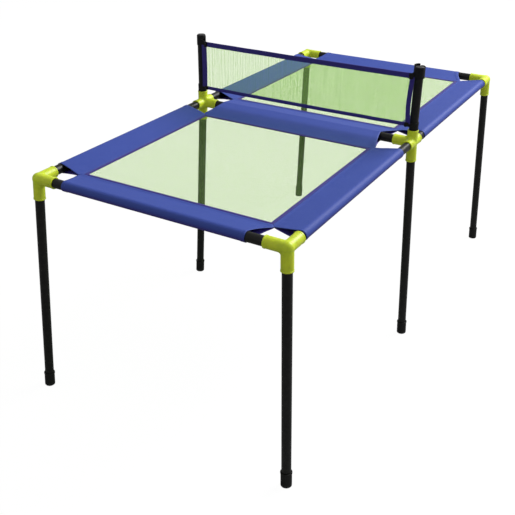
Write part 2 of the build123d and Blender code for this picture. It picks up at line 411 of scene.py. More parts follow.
def cut_at(cut, wrap, u):
    """How far along the tube the cloth ends, u from the tube towards the seam."""
    apex = wrap.reach - APEX
    if u > apex:
        return cut.apex + (cut.corner - cut.apex) * (u - apex) / (wrap.reach - apex)
    return cut.tube + (cut.apex - cut.tube) * (max(u, 0.0) / apex) ** wrap.bend


def wrap_point(wrap, flat, along):
    """A point of the wrap in the frame from its section place and its distance along."""
    return wrap.origin + wrap.inward * flat.x + wrap.up * flat.y + wrap.along * along


def wrapped_cloth(name, wraps, line, steps, thickness, finishes, hem=0.0, slack=0.0, seed=0.0):
    """A sheet taken round a tube along line, hemmed at both ends, with its own thickness.

    With two wraps, the second holds the side of the tube where the line's x is negative.
    """
    normals = outward(line)
    lengths = [0.0]
    for first, second in zip(line, line[1:]):
        lengths.append(lengths[-1] + (second - first).length)
    points = []
    under = []
    alongs = []
    spans = []
    for flat, normal, length in zip(line, normals, lengths):
        wrap = wraps[-1] if flat.x < 0 else wraps[0]
        mirror = -1 if wrap is not wraps[0] else 1
        u = flat.x * mirror
        low = cut_at(wrap.low, wrap, u)
        high = cut_at(wrap.high, wrap, u)
        spans.append(abs(high - low))
        seam_share = smooth_step((abs(u) - wrap.reach * 0.55) / (wrap.reach * 0.45))
        free = smooth_step((abs(u) - 0.3 * wrap.reach) / (0.2 * wrap.reach))
        edge = smooth_step((wrap.reach - abs(u)) / (9 * MM))
        for step in range(steps + 1):
            along = low + (high - low) * step / steps
            from_end = abs(min(along - low, high - along, key=abs))
            lift = 0.75 * thickness * smooth_step((hem - from_end) / (2 * MM)) if hem else 0.0
            broad = noise.noise(Vector((along * 14, length * 22, seed)))
            pucker = noise.noise(Vector((along * 95, length * 12, seed + 7)))
            drag = noise.noise(Vector((along * 20 - length * 30, length * 45, seed + 3)))
            near_end = smooth_step(1 - from_end / 0.09)
            wave = broad * (0.25 + free) + pucker * 0.7 * seam_share * (1 - seam_share) * 4
            wave += drag * near_end * free * 1.6
            if flat.length < wrap.reach * 0.3:
                wave = abs(wave)
            lifted = flat + normal * (lift + slack * wave * edge)
            points.append(wrap_point(wrap, Vector((lifted.x * mirror, lifted.y)), along))
            # Painted shade: how much the cloth faces down, which its material turns deeper violet
            under.append(smooth_step(0.35 - 0.8 * normal.y * wrap.up.z))
            alongs.append(along)
    columns = steps + 1
    faces, corners = grid_faces(len(line), columns)
    uvs = []
    for row, column in corners:
        uvs.append((lengths[row], alongs[row * columns + column]))
    area = 0.0
    for i in range(len(line) - 1):
        area += (lengths[i + 1] - lengths[i]) * (spans[i] + spans[i + 1]) / 2
    piece = mesh_piece(name, points, faces, finishes, uvs)
    centre = len(line) // 2 * columns + columns // 2
    middle = normals[len(line) // 2]
    outer = wraps[0].inward * middle.x + wraps[0].up * middle.y
    near = min(piece.data.polygons, key=lambda face: (face.center - points[centre]).length)
    if near.normal.dot(outer) < 0:
        piece.data.flip_normals()
    attribute = piece.data.attributes.new("underside", "FLOAT", "POINT")
    attribute.data.foreach_set("value", under)
    solid = piece.modifiers.new("Thickness", "SOLIDIFY")
    solid.thickness = thickness
    solid.offset = 0.0
    solid.use_even_offset = True
    solid.material_offset = 1 if len(finishes) > 1 else 0
    return piece, lengths[-1], max(spans), area


def sleeve_wraps(settings):
    """Where each sleeve of the cover runs, by the name of its CAD node."""
    wraps = {}
    bend = settings.end_curve
    side_apex = WINDOW_SIDE + APEX
    corner_bare = {"left": settings.bare_left, "right": settings.bare_right}
    right_bare = {"near": settings.bare_near_right, "far": settings.bare_far_right}
    for end, along in ENDS.items():
        wraps[f"end_band_{end}"] = Wrap(
            origin=Vector((along * HALF_LENGTH, 0, RAIL_HEIGHT)),
            along=Vector((0, 1, 0)),
            inward=Vector((-along, 0, 0)),
            up=UP,
            low=Cut(settings.bare_end_right - CORNER_MOUTH_Y, -side_apex, -WINDOW_SIDE),
            high=Cut(CORNER_MOUTH_Y - settings.bare_end_left, side_apex, WINDOW_SIDE),
            reach=HALF_LENGTH - WINDOW_FAR,
            bend=bend,
        )
        for side, across in SIDES.items():
            corner = CORNER_MOUTH_X - corner_bare[side]
            middle_bare = settings.bare_middle if side == "left" else right_bare[end]
            inner = WINDOW_NEAR[end]
            wraps[f"side_band_{end}_{side}"] = Wrap(
                origin=Vector((0, across * HALF_WIDTH, RAIL_HEIGHT)),
                along=Vector((along, 0, 0)),
                inward=Vector((0, -across, 0)),
                up=UP,
                low=Cut(MIDDLE_MOUTH_X + middle_bare, inner - APEX, inner),
                high=Cut(corner, WINDOW_FAR + APEX, WINDOW_FAR),
                reach=HALF_WIDTH - WINDOW_SIDE,
                bend=bend,
            )
    for end, along in ENDS.items():
        wraps[f"centre_band_{end}"] = Wrap(
            origin=Vector((0, 0, RAIL_HEIGHT)),
            along=Vector((0, 1, 0)),
            inward=Vector((along, 0, 0)),
            up=UP,
            low=Cut(settings.bare_cross_right - MIDDLE_MOUTH_Y, -side_apex, -WINDOW_SIDE),
            high=Cut(MIDDLE_MOUTH_Y - settings.bare_cross_left, side_apex, WINDOW_SIDE),
            reach=WINDOW_NEAR[end],
            bend=settings.centre_curve,
        )
    return wraps


def end_row(wrap, line, cut, inset, lift):
    """A row of stitches round a sleeve, inset from one of its ends."""
    direction = 1 if cut is wrap.low else -1
    row = []
    for flat, normal in zip(line, outward(line)):
        along = cut_at(cut, wrap, flat.x) + direction * inset
        row.append(wrap_point(wrap, flat + normal * lift, along))
    return row


def seam_rows(wrap, inset, lift):
    """Rows of stitches along a sleeve's window edge, above and below it."""
    rows = []
    for height in (lift, -lift):
        flat = Vector((wrap.reach - inset, height))
        low = cut_at(wrap.low, wrap, flat.x) + inset
        high = cut_at(wrap.high, wrap, flat.x) - inset
        rows.append([wrap_point(wrap, flat, low), wrap_point(wrap, flat, high)])
    return rows


# Geometry Nodes: mesh cloth and stitches


def new_tree(name, inputs):
    """A node group with named inputs and one geometry output, and its input sockets."""
    tree = bpy.data.node_groups.new(name, "GeometryNodeTree")
    for label, kind in inputs.items():
        tree.interface.new_socket(label, in_out="INPUT", socket_type="NodeSocket" + kind)
    tree.interface.new_socket("Geometry", in_out="OUTPUT", socket_type="NodeSocketGeometry")
    return tree, add(tree, "NodeGroupInput").outputs


def finished_tree(tree, geometry, finish_material):
    """Ends a node group with its finish."""
    links = {"Geometry": geometry, "Material": finish_material}
    painted = add(tree, "GeometryNodeSetMaterial", links)
    add(tree, "NodeGroupOutput", {0: painted.outputs[0]})
    return tree


def mesh_cloth_tree():
    """Two families of crossing threads, sagging between their held edges."""
    inputs = {"Length": "Float", "Width": "Float", "Length threads": "Int"}
    inputs |= {"Width threads": "Int", "Thread": "Float", "Steps": "Int"}
    inputs |= {"Flatness": "Float", "Sag": "Float", "Ripple": "Vector", "Wander": "Vector"}
    inputs |= {"Place": "Vector", "Turn": "Vector", "Finish": "Material"}
    tree, given = new_tree("mesh_cloth", inputs)

    def math_node(operation, first, second=0.0):
        return combined(tree, operation, first, second)

    def vector(x, y, z=0.0):
        return add(tree, "ShaderNodeCombineXYZ", {0: x, 1: y, 2: z}).outputs[0]

    half_length = math_node("MULTIPLY", given["Length"], 0.5)
    half_width = math_node("MULTIPLY", given["Width"], 0.5)
    position = add(tree, "GeometryNodeInputPosition").outputs[0]
    place = add(tree, "ShaderNodeSeparateXYZ", {0: position})
    # Sag is deepest in the middle and nothing at the edges
    fall = math_node("DIVIDE", given["Sag"], given["Flatness"])
    for axis, half in ((0, half_length), (1, half_width)):
        share = math_node("DIVIDE", place.outputs[axis], half)
        rest = math_node("SUBTRACT", 1.0, math_node("MULTIPLY", share, share))
        fall = math_node("MULTIPLY", fall, rest)
    # Wander is the small unevenness of knitted rows
    links = {0: position, 1: given["Ripple"]}
    grain = add(tree, "ShaderNodeVectorMath", links, operation="MULTIPLY").outputs[0]
    ripple = add(tree, "ShaderNodeTexNoise", {"Vector": grain, "Scale": 1.0, "Detail": 1.0})
    uneven = add(tree, "ShaderNodeSeparateXYZ", {0: ripple.outputs["Color"]})
    wander = add(tree, "ShaderNodeSeparateXYZ", {0: given["Wander"]})
    drift = []
    for axis in (0, 1):
        centred = math_node("SUBTRACT", uneven.outputs[axis], 0.5)
        drift.append(math_node("MULTIPLY", centred, wander.outputs[axis]))
    profile = add(tree, "GeometryNodeCurvePrimitiveCircle", {"Resolution": 4})
    tree.links.new(math_node("MULTIPLY", given["Thread"], 0.5), profile.inputs["Radius"])
    joined = add(tree, "GeometryNodeJoinGeometry")
    families = (
        ("Length threads", half_length, half_width, False),
        ("Width threads", half_width, half_length, True),
    )
    for count, half_run, half_spread, turned in families:
        back_run = math_node("MULTIPLY", half_run, -1.0)
        back_spread = math_node("MULTIPLY", half_spread, -1.0)
        gaps = math_node("SUBTRACT", given[count], 1.0)
        pitch = math_node("DIVIDE", math_node("MULTIPLY", half_spread, 2.0), gaps)
        layer = math_node("MULTIPLY", given["Thread"], -0.3 if turned else 0.3)
        if turned:
            ends = (vector(0.0, back_run), vector(0.0, half_run))
            row = (vector(back_spread, 0.0, layer), vector(pitch, 0.0))
        else:
            ends = (vector(back_run, 0.0), vector(half_run, 0.0))
            row = (vector(0.0, back_spread, layer), vector(0.0, pitch))
        thread = add(tree, "GeometryNodeCurvePrimitiveLine", {"Start": ends[0], "End": ends[1]})
        links = {"Curve": thread.outputs[0], "Count": given["Steps"]}
        thread = add(tree, "GeometryNodeResampleCurve", links)
        links = {"Count": given[count], "Start Location": row[0], "Offset": row[1]}
        points = add(tree, "GeometryNodeMeshLine", links)
        links = {"Points": points.outputs[0], "Instance": thread.outputs[0]}
        copies = add(tree, "GeometryNodeInstanceOnPoints", links)
        real = add(tree, "GeometryNodeRealizeInstances", {0: copies.outputs[0]})
        shift = vector(drift[0], drift[1], math_node("MULTIPLY", fall, -1.0))
        moved = add(tree, "GeometryNodeSetPosition", {0: real.outputs[0], "Offset": shift})
        links = {"Curve": moved.outputs[0], "Profile Curve": profile.outputs[0]}
        links["Fill Caps"] = True
        solid = add(tree, "GeometryNodeCurveToMesh", links)
        tree.links.new(solid.outputs[0], joined.inputs[0])
    pressed = vector(1.0, 1.0, given["Flatness"])
    links = {"Geometry": joined.outputs[0], "Scale": pressed}
    flat = add(tree, "GeometryNodeTransform", links)
    links = {"Geometry": flat.outputs[0], "Translation": given["Place"]}
    placed = add(tree, "GeometryNodeTransform", links)
    turn = add(tree, "FunctionNodeEulerToRotation", {0: given["Turn"]})
    tree.links.new(turn.outputs[0], placed.inputs["Rotation"])
    final = add(tree, "GeometryNodeRealizeInstances", {0: placed.outputs[0]})
    return finished_tree(tree, final.outputs[0], given["Finish"])


def stitch_tree():
    """Small grains of thread along every line of the piece it is given."""
    inputs = {"Rows": "Geometry", "Pitch": "Float", "Stitch": "Float", "Thread": "Float"}
    inputs |= {"Across": "Float", "Finish": "Material"}
    tree, given = new_tree("stitch_rows", inputs)
    rows = add(tree, "GeometryNodeMeshToCurve", {0: given["Rows"]})
    links = {"Curve": rows.outputs[0], "Length": given["Pitch"]}
    dots = add(tree, "GeometryNodeResampleCurve", links, mode="LENGTH")
    grain = add(tree, "GeometryNodeMeshUVSphere", {"Segments": 6, "Rings": 4, "Radius": 0.5})
    links = {0: given["Stitch"], 1: given["Thread"], 2: given["Thread"]}
    size = add(tree, "ShaderNodeCombineXYZ", links).outputs[0]
    shaped = add(tree, "GeometryNodeTransform", {0: grain.outputs[0], "Scale": size})
    tangent = add(tree, "GeometryNodeInputTangent").outputs[0]
    links = {0: tangent, 1: (0.0, 0.0, 1.0)}
    sideways = add(tree, "ShaderNodeVectorMath", links, operation="CROSS_PRODUCT").outputs[0]
    links = {0: given["Across"], 4: tangent, 5: sideways}
    heading = add(tree, "ShaderNodeMix", links, data_type="VECTOR").outputs[1]
    turned = add(tree, "FunctionNodeAlignRotationToVector", {"Vector": heading}, axis="X")
    links = {"Points": dots.outputs[0], "Instance": shaped.outputs[0]}
    links["Rotation"] = turned.outputs[0]
    copies = add(tree, "GeometryNodeInstanceOnPoints", links)
    real = add(tree, "GeometryNodeRealizeInstances", {0: copies.outputs[0]})
    smooth = add(tree, "GeometryNodeSetShadeSmooth", {0: real.outputs[0]})
    return finished_tree(tree, smooth.outputs[0], given["Finish"])


def grown(name, base, tree, values):
    """The plain mesh object that a node tree makes from a base mesh."""
    holder = bpy.data.objects.new(name + "_base", base)
    bpy.context.scene.collection.objects.link(holder)
    modifier = holder.modifiers.new("Grow", "NODES")
    modifier.node_group = tree
    for item in tree.interface.items_tree:
        if item.item_type == "SOCKET" and item.in_out == "INPUT" and item.name in values:
            modifier[item.identifier] = values[item.name]
    bpy.context.view_layer.update()
    evaluated = holder.evaluated_get(bpy.context.evaluated_depsgraph_get())
    mesh = bpy.data.meshes.new_from_object(evaluated)
    holder.modifiers.remove(modifier)
    bpy.data.objects.remove(holder)
    mesh.name = name
    piece = bpy.data.objects.new(name, mesh)
    bpy.context.scene.collection.objects.link(piece)
    return piece


def tree_named(name, maker):
    """A node tree, made the first time that it is asked for."""
    return bpy.data.node_groups.get(name) or maker()


def sewn(name, rows, settings, finish_material, across=False):
    """Stitches along rows of points: a running seam, or a bar tack where they lie across."""
    base = bpy.data.meshes.new(name + "_rows")
    points = []
    edges = []
    for row in rows:
        edges += [(len(points) + i, len(points) + i + 1) for i in range(len(row) - 1)]
        points += row
    base.from_pydata(points, edges, [])
    values = {
        "Pitch": settings.tack_pitch if across else settings.stitch_pitch,
        "Stitch": settings.stitch_length,
        "Thread": settings.stitch_thread,
        "Across": 1.0 if across else 0.0,
        "Finish": finish_material,
    }
    return grown(name, base, tree_named("stitch_rows", stitch_tree), values)


def mesh_cloth(name, size, place, turn, sag, pitches, ripple, wander, settings, finish_material):
    """A rectangle of open mesh, made of real threads; pitches are along and across it."""
    length, width = size
    base = bpy.data.meshes.new(name + "_start")
    values = {
        "Length": length,
        "Width": width,
        "Length threads": round(width / pitches[1]) + 1,
        "Width threads": round(length / pitches[0]) + 1,
        "Thread": settings.mesh_thread,
        "Steps": 13,
        "Flatness": settings.mesh_flatness,
        "Sag": sag,
        "Ripple": ripple,
        "Wander": wander,
        "Place": place,
        "Turn": turn,
        "Finish": finish_material,
    }
    return grown(name, base, tree_named("mesh_cloth", mesh_cloth_tree), values)


# Tapes


def tape_outline(width, thick, thin, steps=5):
    """A folded tape's section: round and thick at its fold, thinner at its sewn edge."""
    half = thick / 2
    corner = 0.3 * MM
    flank = []
    for i in range(1, steps):
        share = i / steps
        across = (thick + (thin - thick) * share) / 2
        flank.append((across, (width - half) * (1 - share)))
    outline = []
    for i in range(steps + 1):
        angle = math.pi * i / steps
        outline.append((half * math.cos(angle), width - half + half * math.sin(angle)))
    outline += [(-x, y) for x, y in flank]
    outline += [(-thin / 2, corner), (-thin / 4, 0.0), (thin / 4, 0.0), (thin / 2, corner)]
    outline += flank[::-1]
    return [Vector(point) for point in outline]


def swept(name, stations, outline, finishes, closed=False):
    """A section carried along stations of (centre, side, up), capped unless it closes."""
    points = []
    for centre, side, up in stations:
        points += [centre + side * p.x + up * p.y for p in outline]
    columns = len(outline)
    rows = len(stations)
    faces = []
    uvs = []
    travelled = [0.0]
    for first, second in zip(stations, stations[1:] + stations[:1]):
        travelled.append(travelled[-1] + (second[0] - first[0]).length)
    around = [0.0]
    for first, second in zip(outline, outline[1:] + outline[:1]):
        around.append(around[-1] + (second - first).length)
    for row in range(rows if closed else rows - 1):
        following = (row + 1) % rows
        for column in range(columns):
            beside = (column + 1) % columns
            here, ahead = row * columns, following * columns
            faces.append([here + column, here + beside, ahead + beside, ahead + column])
            first, last = around[column], around[column + 1]
            uvs += [(first, travelled[row]), (last, travelled[row])]
            uvs += [(last, travelled[row + 1]), (first, travelled[row + 1])]
    if not closed:
        first_cap = list(range(columns))[::-1]
        last_cap = [(rows - 1) * columns + i for i in range(columns)]
        faces += [first_cap, last_cap]
        uvs += [(p.x, p.y) for p in reversed(outline)] + [(p.x, p.y) for p in outline]
    piece = mesh_piece(name, points, faces, finishes, uvs)
    place, _, up = stations[0]
    centre = place + up * sum(p.y for p in outline) / columns
    face = piece.data.polygons[0]
    if face.normal.dot(face.center - centre) < 0:
        piece.data.flip_normals()
    if not closed:
        for cap in piece.data.polygons[-2:]:
            cap.use_smooth = False
    return piece


# Settings


def number(name, description, default, **kind):
    """A number's setting, with its unit or subtype where one fits."""
    return bpy.props.FloatProperty(name=name, description=description, default=default, **kind)


def length(name, description, default):
    """A length's setting, in metres."""
    return number(name, description, default, unit="LENGTH")


def position(name, description, default):
    """A place's setting, in metres."""
    return bpy.props.FloatVectorProperty(
        name=name, description=description, default=default, unit="LENGTH"
    )


def colour(name, description, code):
    """A colour setting from its sRGB hex code."""
    return bpy.props.FloatVectorProperty(
        name=name, description=description, subtype="COLOR", default=linear(code)
    )


class CoverSettings(bpy.types.PropertyGroup):
    """The sewn cover's cloth, sleeves, mesh and stitches."""

    cloth: length("Cloth", "Thickness of the cover's cloth", 0.8 * MM)
    ease: length("Ease", "Gap between tube and cloth", 0.3 * MM)
    seam: length("Seam", "Width sewn flat at a window", 9 * MM)
    hem: length("Sleeve hem", "Turned-in cloth at a sleeve's end", 13 * MM)
    slack: length("Slack", "Depth of the cloth's unevenness", 0.55 * MM)
    end_curve: number("End curve", "How hollow a sleeve's end is; 1 is straight", 1.5)
    centre_curve: number("Centre curve", "How hollow the centre band's ends are", 1.3)
    bare_end_left: length("Bare end, left", "Tube left bare at a left corner", 33 * MM)
    bare_end_right: length("Bare end, right", "Tube left bare at a right corner", 45 * MM)
    bare_left: length("Bare left rail", "Rail left bare at a corner", 27 * MM)
    bare_right: length("Bare right rail", "Rail left bare at a corner", 7 * MM)
    bare_middle: length("Bare left rail at the net", "Rail left bare", 48 * MM)
    bare_near_right: length("Bare near right rail at the net", "Rail left bare", 60 * MM)
    bare_far_right: length("Bare far right rail at the net", "Rail left bare", 28 * MM)
    bare_cross_left: length("Bare cross tube, left", "Tube left bare", 28 * MM)
    bare_cross_right: length("Bare cross tube, right", "Tube left bare", 42 * MM)
    binding_thickness: length("Binding", "Thickness of a window's binding", 2.8 * MM)
    mesh_pitch: length("Mesh pitch", "Distance between threads", 1.7 * MM)
    mesh_thread: length("Mesh thread", "Width of a mesh thread", 0.58 * MM)
    mesh_flatness: number("Mesh flatness", "A thread's height over its width", 0.4)
    mesh_wander: length("Mesh wander", "Unevenness of the rows", 1.2 * MM)
    mesh_sag: length("Mesh sag", "How far a window's middle hangs", 3 * MM)
    stitch_pitch: length("Stitch pitch", "From one stitch to the next", 3.6 * MM)
    tack_pitch: length("Tack pitch", "Between a bar tack's stitches", 0.7 * MM)
    stitch_length: length("Stitch", "Length of one stitch", 2.9 * MM)
    stitch_thread: length("Sewing thread", "Thickness of the thread", 0.6 * MM)


class NetSettings(bpy.types.PropertyGroup):
    """The net's tapes, hems and straps."""

    fold: length("Tape fold", "Thickness at a tape's fold", 3 * MM)
    tape: length("Tape edge", "Thickness at a tape's edge", 1.8 * MM)
    hem: length("Side hem", "Thickness of a side hem", 1.6 * MM)
    bow_left: length("Left bow", "How far the left hem curves in", 1 * MM)
    bow_right: length("Right bow", "How far the right hem curves in", 3.5 * MM)
    sag: length("Tape sag", "How far the top tape hangs", 1.5 * MM)
    webbing: length("Strap", "Thickness of a strap", 1.5 * MM)
    pitch_along: length("Net pitch along", "Between upright threads", 1.9 * MM)
    pitch_up: length("Net pitch up", "Between level threads", 1.5 * MM)
    streak: number("Net streaks", "Uneven upright threads, per metre", 170.0)
    streak_wander: length("Net streak width", "How uneven they are", 7 * MM)
    near_post: length("Right reach", "How much nearer the right post it ends", 9 * MM)
    strap_lap: length("Strap lap", "Length sewn over a tape", 9 * MM)
    strap_step: length("Strap step", "How uneven a wound strap is", 8 * MM)


class ColourSettings(bpy.types.PropertyGroup):
    """Colours of every finish."""

    connector_colour: colour("Connectors", "Lime polypropylene", "D2E62E")
    tube_colour: colour("Tubes", "Black powder coat", "0C0C0A")
    cap_colour: colour("Caps", "Black foot caps and plugs", "0E0E0D")
    cloth_colour: colour("Cloth", "Royal blue cover cloth", "384DA0")
    # Painted shade: the deeper violet that the cloth turns where it faces down
    cloth_painted_shade_colour: colour("Cloth below", "Its deeper underside", "38207E")
    back_colour: colour("Coating", "The cloth's coated inner face", "43369A")
    mesh_colour: colour("Mesh", "Green monofilament", "ABC88B")
    mesh_clear_colour: colour("Mesh light", "Light that a thread passes", "EAFCCC")
    mesh_opacity: number("Mesh opacity", "Share of light a thread stops", 0.25, subtype="FACTOR")
    tape_colour: colour("Tapes", "Navy binding tape", "332A7C")
    strap_colour: colour("Straps", "Black webbing", "0C0C0E")
    thread_colour: colour("Thread", "Blue sewing thread", "4A5CB4")
    dark_thread_colour: colour("Dark thread", "Navy sewing thread", "2B2660")


class StageSettings(bpy.types.PropertyGroup):
    """Camera, floor and lights."""

    camera_place: position("Camera", "Where it stands", (-2.0593, -1.0451, 1.4339))
    camera_target: position("Target", "What it looks at", (-0.4194, -0.0934, 0.3888))
    camera_roll: number("Roll", "Turn about its own axis", math.radians(0.478), unit="ROTATION")
    camera_lens: number("Lens", "Focal length in millimetres on a 36 mm sensor", 54.15)
    floor_size: length("Floor", "Side of the floor", 60.0)
    floor_colour: colour("Floor colour", "Pale paper floor", "FFFFFF")
    floor_grey: number("Floor grey", "How much of its colour shadows fall on", 0.3)
    floor_glow: number("Floor glow", "Strength of its own light to the eye", 1.13)
    floor_share: number("Floor share", "Share of the glow in what is seen", 0.86)
    key_place: position("Key light", "Where the large softbox hangs", (3.6, -2.2, 4.4))
    key_size: length("Key size", "Side of the softbox", 3.0)
    key_power: number("Key power", "Its power", 400.0, unit="POWER")
    dome_strength: number("Dome", "Strength of the even white surroundings", 0.48)


# Operators


class TABLE_OT_stage(bpy.types.Operator):
    """Sets the pale floor, the soft lights and the camera"""

    bl_idname = "net_table.stage"
    bl_label = "Stage"

    def execute(self, context):
        settings = context.scene.net_table_stage
        scene = context.scene
        scene.view_settings.view_transform = "Standard"
        self.place_camera(scene, settings)
        self.lay_floor(settings)
        self.hang_lights(scene, settings)
        return {"FINISHED"}

    def place_camera(self, scene, settings):
        """Points the camera, level but for a small roll."""
        place = Vector(settings.camera_place)
        back = (place - Vector(settings.camera_target)).normalized()
        right = UP.cross(back).normalized()
        top = back.cross(right)
        roll = settings.camera_roll
        across = right * math.cos(roll) + top * math.sin(roll)
        above = top * math.cos(roll) - right * math.sin(roll)
        data = bpy.data.cameras.new("camera")
        data.lens = settings.camera_lens
        data.sensor_width = 36.0
        data.clip_end = 100.0
        camera = bpy.data.objects.new("camera", data)
        turn = Matrix((across, above, back)).transposed().to_4x4()
        camera.matrix_world = Matrix.Translation(place) @ turn
        scene.collection.objects.link(camera)
        scene.camera = camera

    def lay_floor(self, settings):
        """A wide paper floor, a little self-lit to the eye so that its shadows stay faint."""
        half = settings.floor_size / 2
        corners = [(-half, -half, 0), (half, -half, 0), (half, half, 0), (-half, half, 0)]
        made, tree, output, place = material("seamless_paper")
        grain = speckle(tree, place, 2 * MM)
        bump = add(tree, "ShaderNodeBump", {"Height": grain, "Distance": 0.05 * MM})
        pale = rgba(c * settings.floor_grey for c in settings.floor_colour)
        paper = add(tree, "ShaderNodeBsdfDiffuse", {"Color": pale, "Normal": bump.outputs[0]})
        links = {"Color": rgba(settings.floor_colour), "Strength": settings.floor_glow}
        glow = add(tree, "ShaderNodeEmission", links)
        seen = add(tree, "ShaderNodeLightPath").outputs["Is Camera Ray"]
        share = combined(tree, "MULTIPLY", seen, settings.floor_share)
        links = {0: share, 1: paper.outputs[0], 2: glow.outputs[0]}
        both = add(tree, "ShaderNodeMixShader", links)
        tree.links.new(both.outputs[0], output.inputs[0])
        floor = mesh_piece("paper_floor", corners, [(0, 1, 2, 3)], [made], smooth=False)

    def hang_lights(self, scene, settings):
        """One large softbox from above and to the right, in an even white room."""
        data = bpy.data.lights.new("softbox", "AREA")
        data.size = settings.key_size
        data.energy = settings.key_power
        lamp = bpy.data.objects.new("softbox", data)
        place = Vector(settings.key_place)
        aim = Vector((0, 0, RAIL_HEIGHT)) - place
        turn = aim.to_track_quat("-Z", "Y").to_matrix().to_4x4()
        lamp.matrix_world = Matrix.Translation(place) @ turn
        scene.collection.objects.link(lamp)
        world = bpy.data.worlds.new("white_room")
        world.use_nodes = True
        tree = world.node_tree
        tree.nodes.clear()
        seen = add(tree, "ShaderNodeLightPath").outputs["Is Camera Ray"]
        strength = spread(tree, seen, 0.0, 1.0, settings.dome_strength, 1.0)
        light = add(tree, "ShaderNodeBackground", {0: (1.0, 1.0, 1.0, 1.0), 1: strength})
        add(tree, "ShaderNodeOutputWorld", {0: light.outputs[0]})
        scene.world = world


def paint(nodes, finish_material):
    """Gives CAD nodes a finish in their own material slot."""
    for node in nodes:
        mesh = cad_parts[node].data
        mesh.materials.clear()
        mesh.materials.append(finish_material)


class TABLE_OT_connectors(bpy.types.Operator):
    """Finishes the moulded connectors"""

    bl_idname = "net_table.connectors"
    bl_label = "Connectors"

    def execute(self, context):
        nodes = [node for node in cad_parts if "connector" in node]
        paint(nodes, moulded_polypropylene(context.scene.net_table_colours))
        return {"FINISHED"}


class TABLE_OT_tubes(bpy.types.Operator):
    """Finishes the frame tubes, legs and net posts"""

    bl_idname = "net_table.tubes"
    bl_label = "Tubes"

    def execute(self, context):
        kinds = ("side_rail", "end_tube", "centre_cross_tube", "leg_tube", "net_post")
        nodes = [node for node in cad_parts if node.startswith(kinds)]
        paint(nodes, powder_coated_steel(context.scene.net_table_colours))
        return {"FINISHED"}


class TABLE_OT_caps(bpy.types.Operator):
    """Finishes the foot caps and the plugs of the net posts"""

    bl_idname = "net_table.caps"
    bl_label = "Caps and plugs"

    def execute(self, context):
        colours = context.scene.net_table_colours
        paint([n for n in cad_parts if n.startswith("foot_cap")], soft_vinyl(colours))
        plugs = [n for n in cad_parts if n.startswith("post_cap")]
        paint(plugs, moulded_polyethylene(colours))
        return {"FINISHED"}


class TABLE_OT_sleeves(bpy.types.Operator):
    """Sews the cover's cloth sleeves over the tubes"""

    bl_idname = "net_table.sleeves"
    bl_label = "Sleeves"

    def execute(self, context):
        cover = context.scene.net_table_cover
        colours = context.scene.net_table_colours
        finishes = [woven_polyester(colours), coated_back(colours)]
        radius = TUBE_RADIUS + cover.ease + cover.cloth / 2
        rise = cover.cloth / 2
        wraps = sleeve_wraps(cover)
        centre = [wraps.pop("centre_band_far"), wraps.pop("centre_band_near")]
        pieces = []
        for node, wrap in wraps.items():
            line = one_wing(radius, wrap.reach, cover.seam, rise)
            tube = node.replace("end_band", "end_tube").replace("side_band", "side_rail")
            pieces.append((node + "_cloth", node, tube, [wrap], line))
        for layer, side in (("top", 1), ("under", -1)):
            far, near = [half_layer(radius, w.reach, cover.seam, rise, side) for w in centre]
            line = far + [Vector((-p.x, p.y)) for p in reversed(near[:-1])]
            line = line if side > 0 else line[::-1]
            name = f"centre_band_{layer}"
            pieces.append((name, "centre_band", "centre_cross_tube", centre, line))
        for number, (name, node, tube, held_by, line) in enumerate(pieces):
            seed = 11.0 * number
            piece, girth, length, area = wrapped_cloth(
                name, held_by, line, 150, cover.cloth, finishes, cover.hem, cover.slack, seed
            )
            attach(piece, "frame")
            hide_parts(node)
        return {"FINISHED"}


def binding_loop(x0, x1):
    """Stations round a window, with the section's own place to be set in from its edge."""
    corners = [(x0, -WINDOW_SIDE), (x1, -WINDOW_SIDE), (x1, WINDOW_SIDE), (x0, WINDOW_SIDE)]
    inward = [(1, 1), (-1, 1), (-1, -1), (1, -1)]
    stations = []
    for i in range(4):
        first = Vector((*corners[i], RAIL_HEIGHT))
        second = Vector((*corners[(i + 1) % 4], RAIL_HEIGHT))
        turn_first = Vector((*inward[i], 0))
        turn_second = Vector((*inward[(i + 1) % 4], 0))
        steps = 60
        for step in range(steps):
            share = step / steps
            stations.append((first.lerp(second, share), turn_first.lerp(turn_second, share), UP))
    return stations


def strip_outline(width, thickness):
    """A flat folded strip's section from its outer edge inwards, with soft edges."""
    outline = []
    for i in range(16):
        angle = math.tau * i / 16
        x = math.copysign(abs(math.cos(angle)) ** 0.35, math.cos(angle))
        y = math.copysign(abs(math.sin(angle)) ** 0.7, math.sin(angle))
        outline.append(Vector((width / 2 * (1 + x), thickness / 2 * y)))
    return outline


